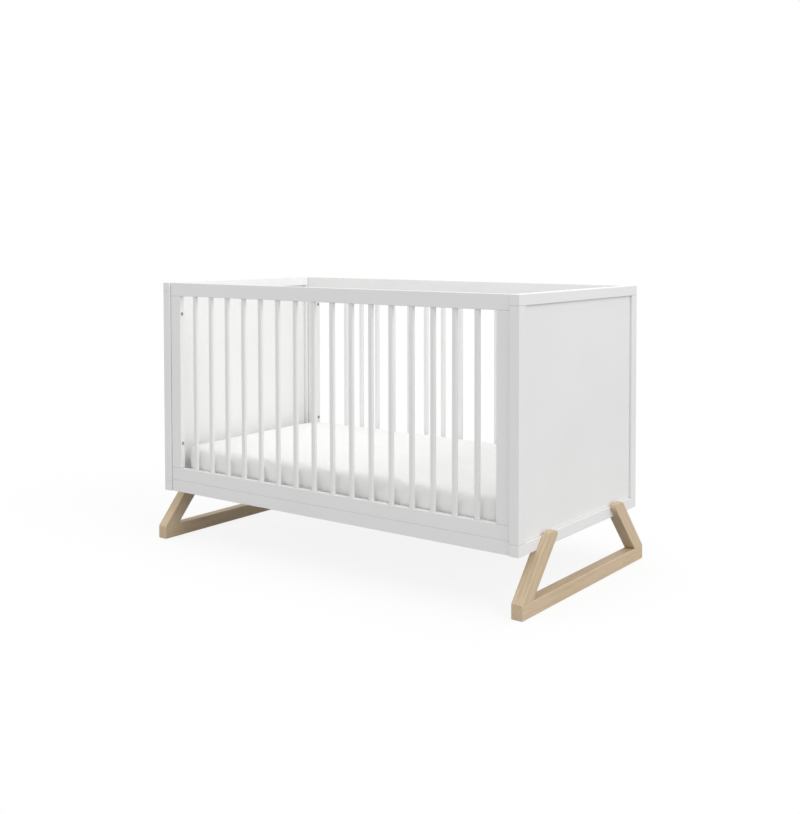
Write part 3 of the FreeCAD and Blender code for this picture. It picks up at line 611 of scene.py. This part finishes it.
def make_corner_seams(mesh):
    """A felled seam down each corner of the sheet, laid on its surface."""
    tree = BVHTree.FromPolygons(
        [v.co for v in mesh.vertices], [p.vertices for p in mesh.polygons])
    made = []
    for number, (sx, sy) in enumerate(CORNERS):
        way = Vector((sx, sy, 0)).normalized()
        source = Vector((
            sx * (BED_HIGH.x - SEAM_PIVOT), sy * (BED_HIGH.y - SEAM_PIVOT),
            (BED_LOW.z + BED_HIGH.z) / 2))
        centres, outward, up, width, depth = [], [], [], [], []
        for step in range(SEAM_STEPS):
            tilt = math.radians(SEAM_TILT * (1 - 2 * step / (SEAM_STEPS - 1)))
            ray = way * math.cos(tilt) + Vector((0, 0, 1)) * math.sin(tilt)
            place, normal, _, _ = tree.ray_cast(source, ray)
            if place is None or place.z < BED_LOW.z + 0.008:
                continue
            pucker = noise.noise(place * 130 + Vector((number, 0, 0)))
            centres.append(place + normal * 0.0001)
            outward.append(Vector((-sy, sx, 0)).normalized())
            up.append(normal)
            width.append(0.0052 + 0.0010 * pucker)
            depth.append(0.0013 + 0.0003 * pucker)
        name = f"sheet_corner_seam_{number + 1}"
        made.append(swept(name, centres, outward, up, width, depth, sheet_cotton))
    return made


def make_mattress():
    """The core and the sheet, in place of the CAD mattress."""
    core_mesh = shell_of_mattress(CORE_CELL, CORE_SLIM, CORE_GAP, CORE_ROUNDS)
    core_mesh.materials.clear()
    core_mesh.materials.append(ticking)
    for polygon in core_mesh.polygons:
        polygon.use_smooth = True
    core = bpy.data.objects.new("mattress_core", core_mesh)
    bpy.context.scene.collection.objects.link(core)
    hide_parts("mattress")

    mesh = filled_shell()
    seams = make_corner_seams(mesh)
    low = open_underneath(mesh)
    mesh.materials.clear()
    mesh.materials.append(sheet_cotton)
    sheet = bpy.data.objects.new("fitted_sheet", mesh)
    bpy.context.scene.collection.objects.link(sheet)
    finer = sheet.modifiers.new("finer", "SUBSURF")
    finer.levels = finer.render_levels = 1
    hem = make_hem(low)
    for piece in (core, sheet, hem, *seams):
        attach(piece, "mattress")


make_mattress()

# ---------------------------------------------------------------- studio


def make_studio():
    """White surroundings, a pale floor that the camera sees nearly white, and soft lamps."""
    scene = bpy.context.scene
    scene.view_settings.view_transform = "Standard"
    scene.view_settings.look = "None"
    world = bpy.data.worlds.new("studio")
    scene.world = world
    world.use_nodes = True
    tree = world.node_tree
    tree.nodes["Background"].inputs["Color"].default_value = (1, 1, 1, 1)
    tree.nodes["Background"].inputs["Strength"].default_value = WORLD_LIGHT
    seen = put(tree, "Background", {"Color": (1, 1, 1, 1), "Strength": 1.0})
    path = put(tree, "LightPath")
    both = put(tree, "MixShader")
    tree.links.new(path.outputs["Is Camera Ray"], both.inputs[0])
    tree.links.new(tree.nodes["Background"].outputs[0], both.inputs[1])
    tree.links.new(seen.outputs[0], both.inputs[2])
    tree.links.new(both.outputs[0], tree.nodes["World Output"].inputs["Surface"])

    mesh = bpy.data.meshes.new("floor")
    mesh.from_pydata([(FLOOR_HALF * x, FLOOR_HALF * y, 0) for x, y in CORNERS], [], [(0, 1, 2, 3)])
    floor = bpy.data.objects.new("floor", mesh)
    scene.collection.objects.link(floor)
    material, tree, shader = new_material("pale_floor")
    cloud = speckle(tree, placed(tree), 0.7, 2.0)
    tree.links.new(ramp(tree, cloud, [(0.3, 0.44), (0.7, 0.46)]), shader.inputs["Base Color"])
    shader.inputs["Roughness"].default_value = 0.9
    shader.inputs["Specular IOR Level"].default_value = 0.1
    lit = put(tree, "Emission", {"Color": (1, 1, 1, 1), "Strength": 1.2})
    share = reckon(tree, "MULTIPLY", put(tree, "LightPath").outputs["Is Camera Ray"], FLOOR_GLOW)
    both = put(tree, "MixShader", {0: share})
    tree.links.new(shader.outputs[0], both.inputs[1])
    tree.links.new(lit.outputs[0], both.inputs[2])
    tree.links.new(both.outputs[0], tree.nodes["Material Output"].inputs["Surface"])
    mesh.materials.append(material)

    for name, source, softness, strength in SUNS:
        data = bpy.data.lights.new(name, "SUN")
        data.angle = math.radians(softness)
        data.energy = strength
        turn_light(data, (0, 0, 3), -Vector(source))
    for name, place, aim, size, watts in SOFTBOXES:
        data = bpy.data.lights.new(name, "AREA")
        data.shape = "RECTANGLE"
        data.size, data.size_y = size
        data.energy = watts
        turn_light(data, place, Vector(aim) - Vector(place))


def turn_light(data, place, direction):
    """Hangs a lamp that shines in a direction, and that the camera doesn't see."""
    light = bpy.data.objects.new(data.name, data)
    light.location = place
    light.rotation_euler = direction.to_track_quat("-Z", "Y").to_euler()
    light.visible_camera = False
    bpy.context.scene.collection.objects.link(light)


WORLD_LIGHT = 0.93            # what the crib sees; the camera sees 1.0
FLOOR_GLOW = 0.72             # share of the floor that the camera sees as its own light
FLOOR_HALF = 40.0
SUNS = [
    # name, direction it comes from, softness in degrees, strength
    ("right_key", (1.0, -0.1, 0.8), 35, 0.74),
]
SOFTBOXES = [
    # name, place, aim, size, watts
    ("over_the_bed", (0.62, 0.0, 1.65), (-0.70, 0.0, 0.55), (0.5, 0.6), 2.5),
]
make_studio()
